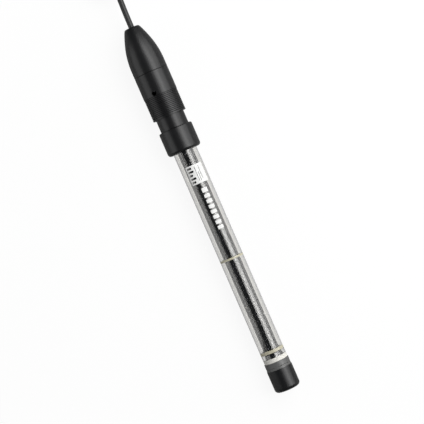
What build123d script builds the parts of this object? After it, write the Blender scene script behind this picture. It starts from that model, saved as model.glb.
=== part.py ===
from build123d import *
import os
from math import atan2, cos, pi, radians, sin, tan

# Combination chloride electrode, lying on its side. Millimetres, +Z up, +X from the sensing end
# toward the cable. The origin is on the surface, under the middle of the electrode.
# Stations are distances along the electrode's own axis, from the sensing face.

os.makedirs("parts", exist_ok=True)

# Sensing tip
tip_length = 11.25
tip_diameter = 13.0
tip_rounding = 1.8
pellet_diameter = 8.2
pellet_thickness = 2.4
pellet_recess = 0.15
contact_diameter = 2.2
contact_length = 3.0

# Grey band between the tip and the liquid junction
band_length = 3.75
band_diameter = 12.6
band_rim_length = 1.25
band_groove = 0.2

# Liquid junction at the lower end of the sliding sleeve
junction_gap = 0.1
junction_length = 2.1
ferrule_length = 2.5
lower_ring_length = 1.5
cone_clearance = 0.15

# Clear sleeve tube
sleeve_diameter = 12.0
sleeve_wall = 0.85
lower_tube_length = 47.9
joint_ring_length = 1.0
joint_ring_wall = 1.1
upper_tube_reach = 56.4
tube_in_collar = 9.0

# Collar and neck that carry the sleeve tube
collar_diameter = 17.06
collar_length = 12.2
collar_rounding = 1.5
collar_chamfer = 0.4
neck_showing = 6.6
neck_in_skirt = 4.0
neck_wall_share = 0.55
neck_floor = 3.0
flush_travel = 4.0

# Ribbed skirt, barrel and cable boot
skirt_length = 11.1
skirt_step = 0.1
rib_count = 12
rib_groove_width = 0.32
rib_depth = 0.3
rib_margin = 0.45
skirt_seam_width = 0.25
lap_length = 3.0
lap_wall = 0.55
barrel_lap_wall = 0.55
barrel_length = 11.8
barrel_diameter = 17.2
web_from_skirt = 4.1
web_thickness = 2.5
vent_diameter = 2.4
vent_from_skirt = 1.3
vent_angle = 18.0
boot_length = 23.5
boot_shoulder = 3.8
boot_waist_from_end = 7.3
boot_waist_share = 0.776
boot_nose_from_end = 0.9
boot_nose_diameter = 8.5
boot_face_diameter = 7.2
boot_spigot_length = 3.5
boot_spigot_wall_share = 0.5
boot_cavity_length = 8.8
seam_width = 0.3
seam_depth = 0.2

# Stem inside the sleeve
stem_diameter = 8.0
stem_bore = 4.8
stem_joint_past_ring = 0.5
stem_socket_length = 5.0
stem_socket_diameter = 6.4
stem_above_web = 3.0
cone_foot_diameter = 10.4
stem_floor_length = 5.0
stem_thread_length = 5.6
stem_groove_station = 38.5
stem_groove_width = 0.9
stem_groove_depth = 0.25
frit_station = 44.8
frit_diameter = 1.2
frit_angle = 50.0

# Seals, spring, leads
o_ring_section = 1.1
o_ring_groove_width = 1.3
o_ring_stand_off = 0.17
spring_wire = 0.8
spring_play = 0.75
spring_turns = 4.5
signal_lead_diameter = 1.0
reference_wire_diameter = 0.6
reference_wire_offset = 1.35
reference_wire_end = 40.0
clamp_length = 4.5
clamp_wall = 0.9

# Cable, its tied hank and the coaxial plug
cable_diameter = 2.8
cable_grip = 9.0
cable_straight = 15.8
hank_start = 115.0
hank_length = 65.0
hank_fold_radius = 8.4
hank_column_pitch = 2.6
hank_layers = 3
hank_eye_start = 4.5
hank_edge_share = 0.9
crossing_clearance = 0.3
crossing_begins = -0.5
crossing_ends = 6.5
descent_station = 16.0
descent_height = 1.3
lead_side = -1.4
lead_tie_gap = 1.0
plug_rise_begins = 17.0
plug_rise_middle = 10.5
plug_rise_height = 4.8
corner_share = 0.45
tie_width = 5.0
tie_thickness = 0.6
plug_start = 192.0
plug_side = -5.0
plug_boot_length = 11.0
plug_boot_tail_diameter = 4.4
plug_boot_diameter = 7.0
plug_boot_grooves = 3
plug_boot_groove_width = 0.8
plug_boot_groove_depth = 0.5
plug_boot_groove_offset = 0.6
plug_boot_overlap = 5.0
crimp_diameter = 5.6
crimp_length = 9.0
cable_in_crimp = 2.0
crimp_spigot_length = 6.0
crimp_spigot_bore = 1.5
plug_neck_diameter = 8.4
plug_neck_length = 5.5
plug_flange_diameter = 10.4
plug_flange_length = 3.0
contact_sleeve_diameter = 8.0
contact_sleeve_wall = 0.5
contact_sleeve_length = 10.0
contact_slot_length = 6.5
contact_slot_width = 0.5
insulator_length = 4.5
pin_diameter = 1.35
pin_reach = 8.5
gasket_thickness = 0.9
gasket_wall = 0.75
washer_thickness = 0.4
coupling_diameter = 14.5
coupling_front_diameter = 12.6
coupling_length = 14.6
coupling_grip_length = 8.0
coupling_bore = 9.9
coupling_lip = 1.2
coupling_cavity_length = 5.1
flute_count = 24
flute_radius = 0.55
flute_stand_off = 0.15
bayonet_width = 2.2
bayonet_entry = 2.0
bayonet_rise = 3.4
bayonet_sweep = 75.0

# Fits
glue_clearance = 0.05
running_clearance = 0.28
cutter_overrun = 1.0

# Stations along the axis
band_start = tip_length
junction_start = band_start + band_length + junction_gap
ferrule_start = junction_start + junction_length
lower_ring_start = ferrule_start + ferrule_length
lower_tube_start = lower_ring_start + lower_ring_length
joint_ring_start = lower_tube_start + lower_tube_length
upper_tube_start = joint_ring_start + joint_ring_length
collar_start = upper_tube_start + upper_tube_reach
neck_start = collar_start + collar_length
skirt_start = neck_start + neck_showing
barrel_start = skirt_start + skirt_length
boot_start = barrel_start + barrel_length
body_end = boot_start + boot_length
neck_end = skirt_start + neck_in_skirt
stem_joint_station = upper_tube_start + stem_joint_past_ring
web_start = barrel_start + web_from_skirt
web_end = web_start + web_thickness

# Radii
tip_radius = tip_diameter / 2
band_radius = band_diameter / 2
sleeve_radius = sleeve_diameter / 2
sleeve_bore_radius = sleeve_radius - sleeve_wall
collar_radius = collar_diameter / 2
barrel_radius = barrel_diameter / 2
skirt_radius = barrel_radius - skirt_step
lap_radius = barrel_radius - barrel_lap_wall - glue_clearance
skirt_bore_radius = lap_radius - lap_wall
neck_radius = skirt_bore_radius - running_clearance
stem_radius = stem_diameter / 2
stem_bore_radius = stem_bore / 2
stem_slide_radius = stem_radius + running_clearance
neck_bore_radius = neck_radius - neck_wall_share * (neck_radius - stem_slide_radius)
cable_radius = cable_diameter / 2

# The electrode rests on the rims of its tip and its collar, which tilts its axis a little
collar_rest = collar_start + collar_rounding
tilt = atan2(collar_radius - tip_radius, collar_rest - tip_rounding)
along = Vector(cos(tilt), 0, sin(tilt))
nose_height = tip_radius * cos(tilt) - tip_rounding * sin(tilt)
nose = Vector(-body_end * cos(tilt) / 2, 0, nose_height)
lengthwise = Plane(origin=nose, x_dir=along, z_dir=(0, -1, 0))
main_axis = Axis(nose, along)


def section(*points):
    """The face of a lengthwise section, from (station, radius) points."""
    with BuildSketch(lengthwise) as outline:
        with BuildLine():
            Polyline(*points, close=True)
        make_face()
    return outline.sketch


def bush(start, end, inner, outer):
    """The lengthwise section of a plain ring."""
    return section((start, inner), (end, inner), (end, outer), (start, outer))


def facing(station, angle):
    """A plane on the axis, facing outward at an angle from straight up toward +Y."""
    upward = lengthwise.y_dir * cos(radians(angle)) + Vector(0, 1, 0) * sin(radians(angle))
    return Plane(origin=lengthwise.from_local_coords((station, 0, 0)), x_dir=along, z_dir=upward)


def rod_plane(station, side):
    """A plane square to the axis, beside the axis toward +Y by the given distance."""
    return Plane(origin=lengthwise.from_local_coords((station, 0, -side)), x_dir=(0, 1, 0), z_dir=along)


def save(piece, name):
    """Label a finished piece and write its file."""
    piece.part.label = name
    export_step(piece.part, f"parts/{name}.step")


# Sensing tip: a moulded cup, the sensing pellet in its face and the contact behind it
pellet_radius = pellet_diameter / 2
pellet_floor = pellet_recess + pellet_thickness
tip_socket_floor = pellet_floor + contact_length
stem_foot = tip_socket_floor + glue_clearance

with BuildPart() as sensing_tip:
    with BuildSketch(lengthwise):
        with BuildLine():
            face_edge = Line((0, pellet_radius + glue_clearance), (0, tip_radius - tip_rounding))
            rim = TangentArc(
                face_edge @ 1,
                (tip_rounding, tip_radius),
                tangent=(0, 1),
            )
            Polyline(
                rim @ 1,
                (tip_length, tip_radius),
                (tip_length, stem_radius + glue_clearance),
                (tip_socket_floor, stem_radius + glue_clearance),
                (tip_socket_floor, contact_diameter / 2 + glue_clearance),
                (pellet_floor, contact_diameter / 2 + glue_clearance),
                (pellet_floor, pellet_radius + glue_clearance),
                face_edge @ 0,
            )
        make_face()
    revolve(axis=main_axis)
save(sensing_tip, "sensing_tip")

with BuildPart() as sensing_pellet:
    revolve(section(
        (pellet_recess, 0),
        (pellet_floor, 0),
        (pellet_floor, pellet_radius),
        (pellet_recess, pellet_radius),
    ), axis=main_axis)
save(sensing_pellet, "sensing_pellet")

with BuildPart() as pellet_contact:
    revolve(section(
        (pellet_floor, 0),
        (tip_socket_floor, 0),
        (tip_socket_floor, contact_diameter / 2),
        (pellet_floor, contact_diameter / 2),
    ), axis=main_axis)
save(pellet_contact, "pellet_contact")

# Grey band, with a shallow groove that leaves a rim beside the tip
with BuildPart() as seal_band:
    revolve(section(
        (band_start, stem_radius + glue_clearance),
        (band_start + band_length, stem_radius + glue_clearance),
        (band_start + band_length, band_radius),
        (band_start + band_rim_length + band_groove, band_radius),
        (band_start + band_rim_length, band_radius - band_groove),
        (band_start + band_rim_length - band_groove, band_radius),
        (band_start, band_radius),
    ), axis=main_axis)
save(seal_band, "seal_band")

# Lower stem: threaded foot, sealing cone, shaft with the inner junction, and a socket on top
cone_foot = band_start + band_length
cone_foot_radius = cone_foot_diameter / 2
cone_top = lower_tube_start
stem_socket_start = stem_joint_station - stem_socket_length
lead_hole_radius = signal_lead_diameter / 2 + glue_clearance
groove_start = stem_groove_station - stem_groove_width / 2
groove_end = stem_groove_station + stem_groove_width / 2

with BuildPart() as lower_stem:
    revolve(section(
        (stem_foot, lead_hole_radius),
        (cone_top + stem_floor_length, lead_hole_radius),
        (cone_top + stem_floor_length, stem_bore_radius),
        (stem_socket_start, stem_bore_radius),
        (stem_socket_start, stem_socket_diameter / 2 + glue_clearance),
        (stem_joint_station, stem_socket_diameter / 2 + glue_clearance),
        (stem_joint_station, stem_radius),
        (groove_end, stem_radius),
        (groove_end, stem_radius - stem_groove_depth),
        (groove_start, stem_radius - stem_groove_depth),
        (groove_start, stem_radius),
        (cone_top, stem_radius),
        (cone_foot, cone_foot_radius),
        (cone_foot, stem_radius),
        (stem_foot, stem_radius),
    ), axis=main_axis)
    with BuildSketch(facing(frit_station, frit_angle)):
        Circle(frit_diameter / 2 + glue_clearance)
    extrude(amount=2 * stem_radius, mode=Mode.SUBTRACT)
save(lower_stem, "lower_stem")

# Ceramic pin of the inner junction, flush with the shaft
with BuildPart() as inner_junction:
    with BuildSketch(facing(frit_station, frit_angle)):
        Circle(frit_diameter / 2)
    extrude(amount=2 * stem_radius)
    with BuildSketch(lengthwise):
        with Locations((frit_station, (stem_bore_radius + stem_radius) / 2)):
            Rectangle(2 * frit_diameter, stem_radius - stem_bore_radius)
    revolve(axis=main_axis, mode=Mode.INTERSECT)
save(inner_junction, "inner_junction")

# Upper stem: a black tube that is glued into the lower stem and into the barrel
stem_end = web_end + stem_above_web

with BuildPart() as upper_stem:
    revolve(section(
        (stem_socket_start, stem_bore_radius),
        (stem_end, stem_bore_radius),
        (stem_end, stem_radius),
        (stem_joint_station, stem_radius),
        (stem_joint_station, stem_socket_diameter / 2),
        (stem_socket_start, stem_socket_diameter / 2),
    ), axis=main_axis)
save(upper_stem, "upper_stem")

# Sliding sleeve, from the junction ring up to the collar


def cone_bore(station):
    """The bore radius that clears the sealing cone at a station."""
    fraction = (station - cone_foot) / (cone_top - cone_foot)
    cone_radius = cone_foot_radius + fraction * (stem_radius - cone_foot_radius)
    return cone_radius + cone_clearance


def cone_ring(start, end):
    """The section of a ring that surrounds the sealing cone."""
    return section(
        (start, cone_bore(start)),
        (end, cone_bore(end)),
        (end, sleeve_radius),
        (start, sleeve_radius),
    )


with BuildPart() as junction_ring:
    revolve(cone_ring(junction_start, ferrule_start), axis=main_axis)
save(junction_ring, "junction_ring")

with BuildPart() as clear_ferrule:
    revolve(cone_ring(ferrule_start, lower_ring_start), axis=main_axis)
save(clear_ferrule, "clear_ferrule")

with BuildPart() as lower_ring:
    revolve(section(
        (lower_ring_start, cone_bore(lower_ring_start)),
        (lower_tube_start, stem_slide_radius),
        (lower_tube_start, sleeve_radius),
        (lower_ring_start, sleeve_radius),
    ), axis=main_axis)
save(lower_ring, "lower_ring")

with BuildPart() as lower_tube:
    revolve(bush(lower_tube_start, joint_ring_start, sleeve_bore_radius, sleeve_radius), axis=main_axis)
save(lower_tube, "lower_tube")

with BuildPart() as tube_joint_ring:
    revolve(bush(
        joint_ring_start, upper_tube_start, sleeve_radius - joint_ring_wall, sleeve_radius
    ), axis=main_axis)
save(tube_joint_ring, "tube_joint_ring")

with BuildPart() as upper_tube:
    revolve(bush(
        upper_tube_start, collar_start + tube_in_collar, sleeve_bore_radius, sleeve_radius
    ), axis=main_axis)
save(upper_tube, "upper_tube")

# Collar and neck in one moulding, with a socket for the tube and a groove for the stem seal
socket_radius = sleeve_radius + glue_clearance
o_ring_middle = stem_radius + o_ring_stand_off + o_ring_section / 2
o_ring_groove_radius = o_ring_middle + o_ring_section / 2 + glue_clearance
o_ring_groove_start = collar_start + tube_in_collar + 1.0
o_ring_groove_end = o_ring_groove_start + o_ring_groove_width

with BuildPart() as sleeve_collar:
    with BuildSketch(lengthwise):
        with BuildLine():
            lower_face = Line(
                (collar_start, socket_radius), (collar_start, collar_radius - collar_rounding)
            )
            lower_rim = TangentArc(
                lower_face @ 1, (collar_start + collar_rounding, collar_radius), tangent=(0, 1)
            )
            Polyline(
                lower_rim @ 1,
                (neck_start - collar_chamfer, collar_radius),
                (neck_start, collar_radius - collar_chamfer),
                (neck_start, neck_radius),
                (neck_end, neck_radius),
                (neck_end, neck_bore_radius),
                (neck_start + neck_floor, neck_bore_radius),
                (neck_start + neck_floor, stem_slide_radius),
                (o_ring_groove_end, stem_slide_radius),
                (o_ring_groove_end, o_ring_groove_radius),
                (o_ring_groove_start, o_ring_groove_radius),
                (o_ring_groove_start, stem_slide_radius),
                (collar_start + tube_in_collar, stem_slide_radius),
                (collar_start + tube_in_collar, socket_radius),
                lower_face @ 0,
            )
        make_face()
    revolve(axis=main_axis)
save(sleeve_collar, "sleeve_collar")

with BuildPart() as collar_o_ring:
    with BuildSketch(lengthwise):
        with Locations(((o_ring_groove_start + o_ring_groove_end) / 2, o_ring_middle)):
            Circle(o_ring_section / 2)
    revolve(axis=main_axis)
save(collar_o_ring, "collar_o_ring")

# Ribbed skirt: the neck slides inside it, and its upper end laps into the barrel
rib_span = skirt_length - 2 * rib_margin
rib_pitch = rib_span / rib_count
rib_outline = []
for rib in range(rib_count):
    groove_middle = skirt_start + rib_margin + (rib + 0.5) * rib_pitch
    rib_outline += [
        (groove_middle - rib_groove_width / 2, skirt_radius),
        (groove_middle, skirt_radius - rib_depth),
        (groove_middle + rib_groove_width / 2, skirt_radius),
    ]

with BuildPart() as ribbed_skirt:
    revolve(section(
        (skirt_start, skirt_bore_radius),
        (skirt_start, skirt_radius),
        *rib_outline,
        (barrel_start - skirt_seam_width, skirt_radius),
        (barrel_start, skirt_radius - skirt_seam_width),
        (barrel_start, lap_radius),
        (barrel_start + lap_length, lap_radius),
        (barrel_start + lap_length, skirt_bore_radius),
    ), axis=main_axis)
    with BuildSketch(facing(barrel_start + vent_from_skirt, vent_angle)):
        Circle(vent_diameter / 2)
    extrude(amount=barrel_diameter, mode=Mode.SUBTRACT)
save(ribbed_skirt, "ribbed_skirt")

# Barrel: its web carries the stem and takes the push of the spring
boot_spigot_radius = skirt_bore_radius
with BuildPart() as cap_barrel:
    revolve(section(
        (barrel_start, lap_radius + glue_clearance),
        (barrel_start, barrel_radius),
        (boot_start - seam_width, barrel_radius),
        (boot_start, barrel_radius - seam_depth),
        (boot_start, boot_spigot_radius + glue_clearance),
        (web_end, boot_spigot_radius + glue_clearance),
        (web_end, stem_radius + glue_clearance),
        (web_start, stem_radius + glue_clearance),
        (web_start, skirt_bore_radius),
        (barrel_start + lap_length, skirt_bore_radius),
        (barrel_start + lap_length, lap_radius + glue_clearance),
    ), axis=main_axis)
    with BuildSketch(facing(barrel_start + vent_from_skirt, vent_angle)):
        Circle(vent_diameter / 2)
    extrude(amount=barrel_diameter, mode=Mode.SUBTRACT)
save(cap_barrel, "cap_barrel")

# Return spring between the neck and the web, which keeps the cone shut
spring_start = neck_end + spring_wire / 2 + glue_clearance
spring_height = web_start - neck_end - spring_wire - 2 * glue_clearance
spring_radius = skirt_bore_radius - spring_play - spring_wire / 2
spring_foot = lengthwise.from_local_coords((spring_start, 0, 0))

with BuildPart() as return_spring:
    with BuildLine() as spring_path:
        Helix(
            pitch=spring_height / spring_turns,
            height=spring_height,
            radius=spring_radius,
            center=spring_foot,
            direction=along,
        )
    with BuildSketch(Plane(origin=spring_path.line @ 0, z_dir=spring_path.line % 0)):
        Circle(spring_wire / 2)
    sweep(path=spring_path.line, is_frenet=True)
save(return_spring, "return_spring")

# Cable boot: a smooth ogive with a spigot in the barrel and a step that holds the cable clamp
boot_waist = body_end - boot_waist_from_end
boot_nose = body_end - boot_nose_from_end
cavity_end = boot_start + boot_cavity_length
clamp_radius = cable_radius + clamp_wall
clamp_start = body_end - cable_grip
clamp_end = clamp_start + clamp_length
cable_hole_radius = cable_radius + glue_clearance
boot_waist_radius = boot_waist_share * barrel_radius
boot_room_radius = boot_spigot_radius - boot_spigot_wall_share * (boot_spigot_radius - stem_radius)

with BuildPart() as cable_boot:
    with BuildSketch(lengthwise):
        with BuildLine():
            shoulder = Line((boot_start, barrel_radius), (boot_start + boot_shoulder, barrel_radius))
            swell = TangentArc(
                shoulder @ 1, (boot_waist, boot_waist_radius), tangent=shoulder % 1
            )
            taper = TangentArc(swell @ 1, (boot_nose, boot_nose_diameter / 2), tangent=swell % 1)
            nose_round = TangentArc(
                taper @ 1, (body_end, boot_face_diameter / 2), tangent=taper % 1
            )
            Polyline(
                nose_round @ 1,
                (body_end, cable_hole_radius),
                (clamp_end, cable_hole_radius),
                (clamp_end, clamp_radius + glue_clearance),
                (cavity_end, clamp_radius + glue_clearance),
                (boot_start, boot_room_radius),
                (boot_start - boot_spigot_length, boot_room_radius),
                (boot_start - boot_spigot_length, boot_spigot_radius),
                (boot_start, boot_spigot_radius),
                shoulder @ 0,
            )
        make_face()
    revolve(axis=main_axis)
save(cable_boot, "cable_boot")

with BuildPart() as cable_clamp:
    revolve(bush(clamp_start, clamp_end, cable_hole_radius, clamp_radius), axis=main_axis)
save(cable_clamp, "cable_clamp")

# Leads inside: the signal lead on the axis and the silver reference wire beside it
with BuildPart() as signal_lead:
    revolve(section(
        (stem_foot, 0),
        (clamp_start, 0),
        (clamp_start, signal_lead_diameter / 2),
        (stem_foot, signal_lead_diameter / 2),
    ), axis=main_axis)
save(signal_lead, "signal_lead")

with BuildPart() as reference_wire:
    with BuildSketch(rod_plane(reference_wire_end, reference_wire_offset)):
        Circle(reference_wire_diameter / 2)
    extrude(amount=stem_end - reference_wire_end + stem_above_web)
save(reference_wire, "reference_wire")

# Cable routes: from the clamp into the hank's top turn, and from its lowest turn to the plug
hank_outer_radius = hank_fold_radius + hank_column_pitch + cable_radius
hank_inner_radius = hank_fold_radius - cable_radius
hank_waist = hank_column_pitch + cable_diameter
hank_fold_offset = hank_length / 2 - hank_outer_radius
hank_waist_radius = (
    (hank_fold_offset**2 + hank_waist**2 - hank_outer_radius**2) / 2 / (hank_outer_radius - hank_waist)
)
hank_middle = hank_start + hank_length / 2
hank_height = hank_layers * cable_diameter
hank_base = tie_thickness
top_turn_height = hank_base + hank_height - cable_radius
crossing_height = top_turn_height + cable_diameter + crossing_clearance
coupling_radius = coupling_diameter / 2
plug_lead_straight = 1.5 * cable_diameter


def point_on_axis(station):
    """A point on the electrode's axis, as plain coordinates."""
    return tuple(lengthwise.from_local_coords((station, 0, 0)))


cable_route = [
    point_on_axis(clamp_start),
    point_on_axis(clamp_start + cable_straight),
    (hank_start + crossing_begins, 0.4 * lead_side, crossing_height),
    (hank_start + crossing_ends, 0.65 * lead_side, crossing_height),
    (hank_start + descent_station, 0.9 * lead_side, top_turn_height + descent_height),
    (hank_middle - tie_width / 2 - lead_tie_gap, lead_side, top_turn_height),
]
plug_route = [
    (hank_middle + hank_fold_offset, cable_radius - hank_outer_radius, hank_base + cable_radius),
    (plug_start - plug_rise_begins, cable_radius - hank_outer_radius, hank_base + cable_radius + 0.3),
    (plug_start - plug_rise_middle, 0.5 * (plug_side + cable_radius - hank_outer_radius), plug_rise_height),
    (plug_start - plug_lead_straight, plug_side, coupling_radius),
    (plug_start + plug_boot_length - plug_boot_overlap + cable_in_crimp, plug_side, coupling_radius),
]


def widest_radii(route, name):
    """Radii for a route's corners, each as large as the runs beside it allow."""
    points = [Vector(*point) for point in route]
    runs = [after - before for before, after in zip(points, points[1:])]
    radii = []
    for before, after in zip(runs, runs[1:]):
        turn = before.get_angle(after)
        radii.append(corner_share * min(before.length, after.length) / tan(radians(turn) / 2))
        print(f"{name}: run {before.length:.1f} mm, turn {turn:.1f} degrees, radius {radii[-1]:.1f} mm")
    return radii


def report_tube(piece, path, name):
    """Print a tube's volume beside its section times its length."""
    length = sum(edge.length for edge in path.edges())
    ideal = pi * cable_radius**2 * length
    print(f"{name}: length {length:.1f} mm, volume {piece.part.volume:.2f}, ideal {ideal:.2f}")


with BuildPart() as cable:
    with BuildLine() as cable_path:
        FilletPolyline(*cable_route, radius=widest_radii(cable_route, "cable"))
    with BuildSketch(Plane(origin=cable_path.line @ 0, z_dir=cable_path.line % 0)):
        Circle(cable_radius)
    sweep(path=cable_path.line)
report_tube(cable, cable_path, "cable")
save(cable, "cable")

with BuildPart() as plug_lead:
    with BuildLine() as lead_path:
        FilletPolyline(*plug_route, radius=widest_radii(plug_route, "plug_lead"))
    with BuildSketch(Plane(origin=lead_path.line @ 0, z_dir=lead_path.line % 0)):
        Circle(cable_radius)
    sweep(path=lead_path.line)
report_tube(plug_lead, lead_path, "plug_lead")
save(plug_lead, "plug_lead")

# Hank: the shape of the folded turns, wide at both folds, drawn in at the tie, with an eye in each fold
centre_distance = hank_outer_radius + hank_waist_radius
shoulder_x = hank_fold_offset * hank_waist_radius / centre_distance
shoulder_y = hank_outer_radius * (hank_waist + hank_waist_radius) / centre_distance
eye_waist_radius = centre_distance - hank_inner_radius
eye_shoulder_x = hank_fold_offset * eye_waist_radius / centre_distance
eye_shoulder_y = hank_inner_radius * (hank_waist + hank_waist_radius) / centre_distance


def eye_side(x):
    """Half the width of the gap between the inner turns, at a distance from the hank's middle."""
    return hank_waist + hank_waist_radius - (eye_waist_radius**2 - x**2) ** 0.5


with BuildPart() as cable_hank:
    with BuildSketch(Plane(origin=(hank_middle, 0, hank_base))):
        with BuildLine():
            ThreePointArc((-shoulder_x, shoulder_y), (0, hank_waist), (shoulder_x, shoulder_y))
            ThreePointArc((shoulder_x, shoulder_y), (hank_length / 2, 0), (shoulder_x, -shoulder_y))
            ThreePointArc((shoulder_x, -shoulder_y), (0, -hank_waist), (-shoulder_x, -shoulder_y))
            ThreePointArc((-shoulder_x, -shoulder_y), (-hank_length / 2, 0), (-shoulder_x, shoulder_y))
        make_face()
    extrude(amount=hank_height)
    fillet(
        cable_hank.faces().sort_by(Axis.Z)[0].edges() + cable_hank.faces().sort_by(Axis.Z)[-1].edges(),
        radius=hank_edge_share * cable_radius,
    )
    with BuildSketch(Plane(origin=(hank_middle, 0, hank_base))):
        for way in (-1, 1):
            near = (way * hank_eye_start, eye_side(hank_eye_start))
            half_way = (hank_eye_start + eye_shoulder_x) / 2
            with BuildLine():
                ThreePointArc(
                    near, (way * half_way, eye_side(half_way)), (way * eye_shoulder_x, eye_shoulder_y)
                )
                ThreePointArc(
                    (way * eye_shoulder_x, eye_shoulder_y),
                    (way * (hank_fold_offset + hank_inner_radius), 0),
                    (way * eye_shoulder_x, -eye_shoulder_y),
                )
                ThreePointArc(
                    (way * eye_shoulder_x, -eye_shoulder_y),
                    (way * half_way, -eye_side(half_way)),
                    (near[0], -near[1]),
                )
                Line((near[0], -near[1]), near)
            make_face()
    extrude(amount=hank_height, mode=Mode.SUBTRACT)
save(cable_hank, "cable_hank")

# Tie: a thin strap drawn tight round the waist of the hank
corner_side = hank_waist - cable_radius
corner_places = [
    (-corner_side, cable_radius),
    (corner_side, cable_radius),
    (-corner_side, hank_height - cable_radius),
    (corner_side, hank_height - cable_radius),
]

with BuildPart() as cable_tie:
    with BuildSketch(Plane(
        origin=(hank_middle - tie_width / 2, 0, hank_base), x_dir=(0, 1, 0), z_dir=(1, 0, 0)
    )):
        with Locations(*corner_places):
            Circle(cable_radius + tie_thickness)
        make_hull()
        with BuildSketch(mode=Mode.SUBTRACT):
            with Locations(*corner_places):
                Circle(cable_radius)
            make_hull()
    extrude(amount=tie_width)
save(cable_tie, "cable_tie")

# Coaxial plug, lying level with its front toward +X; reaches are measured from the boot's tail
plug_tail = Vector(plug_start, plug_side, coupling_radius)
plug_frame = Plane(origin=plug_tail, x_dir=(1, 0, 0), z_dir=(0, -1, 0))
plug_axis = Axis(plug_tail, (1, 0, 0))
crimp_start = plug_boot_length - plug_boot_overlap
crimp_end = crimp_start + crimp_length
spigot_start = crimp_end - crimp_spigot_length
flange_start = crimp_end + plug_neck_length
flange_end = flange_start + plug_flange_length
contact_end = flange_end + contact_sleeve_length
crimp_radius = crimp_diameter / 2
neck_outer_radius = plug_neck_diameter / 2
flange_radius = plug_flange_diameter / 2
contact_radius = contact_sleeve_diameter / 2
contact_bore_radius = contact_radius - contact_sleeve_wall
pin_radius = pin_diameter / 2


def plug_section(*points):
    """The face of a section along the plug, from (reach, radius) points."""
    with BuildSketch(plug_frame) as outline:
        with BuildLine():
            Polyline(*points, close=True)
        make_face()
    return outline.sketch


def plug_bush(start, end, inner, outer):
    """The section of a plain ring on the plug."""
    return plug_section((start, inner), (end, inner), (end, outer), (start, outer))


def across_plug(reach):
    """A plane square to the plug, facing its front."""
    return Plane(origin=plug_tail + Vector(reach, 0, 0), x_dir=(0, 1, 0), z_dir=(1, 0, 0))


plug_boot_tail_radius = plug_boot_tail_diameter / 2
plug_boot_slope = (plug_boot_diameter / 2 - plug_boot_tail_radius) / crimp_start
boot_groove_pitch = crimp_start / (plug_boot_grooves + 0.5)

with BuildPart() as plug_boot:
    revolve(plug_section(
        (0, cable_hole_radius),
        (0, plug_boot_tail_radius),
        (crimp_start, plug_boot_diameter / 2),
        (plug_boot_length, plug_boot_diameter / 2),
        (plug_boot_length, crimp_radius + glue_clearance),
        (crimp_start, crimp_radius + glue_clearance),
        (crimp_start, cable_hole_radius),
    ), axis=plug_axis)
    for groove in range(plug_boot_grooves):
        reach = (groove + plug_boot_groove_offset) * boot_groove_pitch
        outside = plug_boot_tail_radius + plug_boot_slope * reach
        revolve(plug_bush(
            reach, reach + plug_boot_groove_width, outside - plug_boot_groove_depth, outside + cutter_overrun
        ), axis=plug_axis, mode=Mode.SUBTRACT)
save(plug_boot, "plug_boot")

with BuildPart() as crimp_ferrule:
    revolve(plug_bush(crimp_start, crimp_end, cable_hole_radius, crimp_radius), axis=plug_axis)
save(crimp_ferrule, "crimp_ferrule")

# Plug body: crimp spigot, neck, flange and the slotted contact sleeve
with BuildPart() as plug_body:
    revolve(plug_section(
        (spigot_start, crimp_spigot_bore / 2),
        (flange_start, crimp_spigot_bore / 2),
        (flange_start, contact_bore_radius),
        (contact_end, contact_bore_radius),
        (contact_end, contact_radius),
        (flange_end, contact_radius),
        (flange_end, flange_radius),
        (flange_start, flange_radius),
        (flange_start, neck_outer_radius),
        (crimp_end, neck_outer_radius),
        (crimp_end, cable_radius),
        (spigot_start, cable_radius),
    ), axis=plug_axis)
    with BuildSketch(across_plug(contact_end - contact_slot_length)):
        Rectangle(contact_sleeve_diameter + cutter_overrun, contact_slot_width)
        Rectangle(contact_slot_width, contact_sleeve_diameter + cutter_overrun)
    extrude(amount=contact_slot_length, mode=Mode.SUBTRACT)
save(plug_body, "plug_body")

insulator_end = flange_start + insulator_length
with BuildPart() as plug_insulator:
    revolve(plug_bush(
        flange_start, insulator_end, pin_radius, contact_bore_radius - glue_clearance
    ), axis=plug_axis)
save(plug_insulator, "plug_insulator")

with BuildPart() as centre_pin:
    revolve(plug_section(
        (flange_start, 0),
        (insulator_end + pin_reach, 0),
        (insulator_end + pin_reach - pin_radius, pin_radius),
        (flange_start, pin_radius),
    ), axis=plug_axis)
save(centre_pin, "centre_pin")

with BuildPart() as plug_gasket:
    revolve(plug_bush(
        flange_end, flange_end + gasket_thickness,
        contact_radius + glue_clearance, contact_radius + glue_clearance + gasket_wall,
    ), axis=plug_axis)
save(plug_gasket, "plug_gasket")

# Coupling ring: it turns round the flange, and its two slanting slots pull a socket's lugs home
coupling_cavity_radius = flange_radius + running_clearance
coupling_bore_radius = coupling_bore / 2
coupling_start = flange_start - washer_thickness - 2 * running_clearance - coupling_lip
coupling_end = coupling_start + coupling_length
coupling_cavity_end = coupling_start + coupling_lip + coupling_cavity_length
coupling_grip_end = coupling_start + coupling_grip_length
coupling_front_radius = coupling_front_diameter / 2

with BuildPart() as coupling_washer:
    revolve(plug_bush(
        flange_start - running_clearance - washer_thickness, flange_start - running_clearance,
        neck_outer_radius + glue_clearance, flange_radius,
    ), axis=plug_axis)
save(coupling_washer, "coupling_washer")

slot_middle_radius = (coupling_bore_radius + coupling_front_radius) / 2
slot_depth = coupling_front_radius - coupling_bore_radius + 2 * cutter_overrun

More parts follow.
